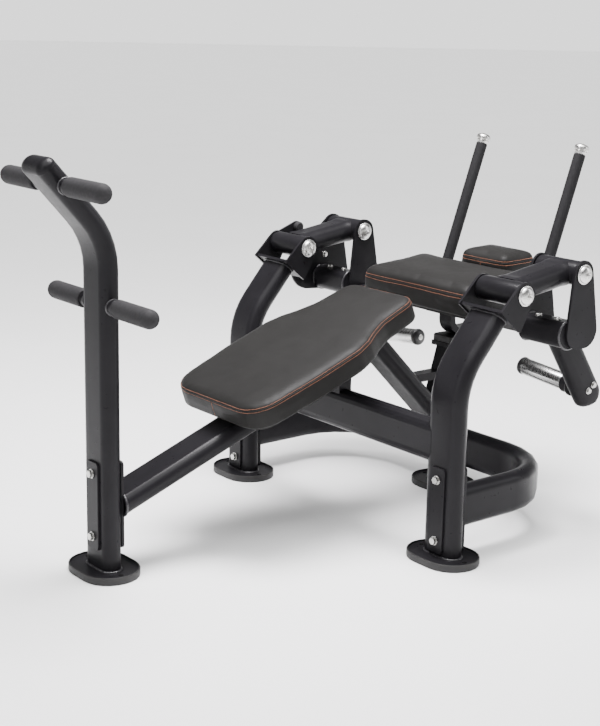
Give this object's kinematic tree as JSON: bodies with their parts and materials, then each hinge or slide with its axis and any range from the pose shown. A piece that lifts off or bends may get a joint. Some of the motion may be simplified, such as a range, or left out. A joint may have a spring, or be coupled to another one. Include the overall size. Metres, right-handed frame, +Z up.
{
  "type": "roman chair",
  "caption": "Gym bench with an inclined padded seat, a foot post with round grips, and a hinged padded back cradle with weight horns and hand levers on swinging side links.",
  "frame": {"origin": "on the floor, at the middle of the whole length and width", "axes": "+X from the foot post to the head end, +Y to the left side, +Z up"},
  "size_m": [1.754, 1.1222, 1.0888],
  "materials": {
    "black_frame": "satin black powder coat with a fine texture",
    "black_plastic": "moulded black plastic, satin",
    "grip_rubber": "dark grey matte foam rubber",
    "shoe_rubber": "black matte rubber",
    "chrome_plate": "polished chrome plate",
    "zinc_steel": "bright zinc-plated steel",
    "pad_cover": "black fine-grain leatherette with copper double stitching",
    "pad_board": "black-covered plywood"
  },
  "bodies": {
    "frame": {"foot_post": "black_frame", "post_shoe": "shoe_rubber", "post_end_cap": "black_plastic", "grip_lower_right": "grip_rubber", "grip_lower_left": "grip_rubber", "grip_upper_right": "grip_rubber", "grip_upper_left": "grip_rubber", "post_clamp_plate": "black_frame", "post_bolt_1": "zinc_steel", "post_bolt_2": "zinc_steel", "bench_beam": "black_frame", "cross_tube": "black_frame", "rear_loop": "black_frame", "diagonal_tube": "black_frame", "rear_leg": "black_frame", "rear_shoe": "shoe_rubber", "stop_post": "black_frame", "stop_rubber": "shoe_rubber", "bumper_knob": "grip_rubber", "bench_pad": "pad_cover", "bench_board": "pad_board", "tower_right": "black_frame", "tower_shoe_right": "shoe_rubber", "tower_clamp_plate_right": "black_frame", "tower_bolt_right_1": "zinc_steel", "tower_bolt_right_2": "zinc_steel", "tower_bracket_right": "black_frame", "link_pin_right": "chrome_plate", "tower_left": "black_frame", "tower_shoe_left": "shoe_rubber", "tower_clamp_plate_left": "black_frame", "tower_bolt_left_1": "zinc_steel", "tower_bolt_left_2": "zinc_steel", "tower_bracket_left": "black_frame", "link_pin_left": "chrome_plate"},
    "link_right": {"link_right": "black_frame", "cradle_pin_right": "chrome_plate"},
    "link_left": {"link_left": "black_frame", "cradle_pin_left": "chrome_plate"},
    "cradle": {"pad_frame": "black_frame", "back_pad": "pad_cover", "back_board": "pad_board", "head_pad": "pad_cover", "head_board": "pad_board", "cradle_plate_inner_right": "black_frame", "cradle_plate_outer_right": "black_frame", "side_tube_right": "black_frame", "arm_right": "black_frame", "weight_horn_right": "zinc_steel", "horn_cap_right": "black_plastic", "handle_right": "chrome_plate", "handle_sleeve_right": "grip_rubber", "cradle_plate_inner_left": "black_frame", "cradle_plate_outer_left": "black_frame", "side_tube_left": "black_frame", "arm_left": "black_frame", "weight_horn_left": "zinc_steel", "horn_cap_left": "black_plastic", "handle_left": "chrome_plate", "handle_sleeve_left": "grip_rubber"}
  },
  "joints": [
    {"name": "link_swing_right", "type": "hinge", "parent": "frame", "child": "link_right", "pos_m": [0.2812, -0.4538, 0.717], "axis": [0, -1, 0], "range_deg": [0, 24]},
    {"name": "link_swing_left", "type": "hinge", "parent": "frame", "child": "link_left", "pos_m": [0.2812, 0.4538, 0.717], "axis": [0, -1, 0], "range_deg": [0, 24]},
    {"name": "cradle_tilt", "type": "hinge", "parent": "link_right", "child": "cradle", "pos_m": [0.5092, -0.4538, 0.752], "axis": [0, -1, 0], "range_deg": [0, 38]}
  ],
  "couplings": [
    {"joint": "link_swing_left", "follows": "link_swing_right", "ratio": 1}
  ]
}
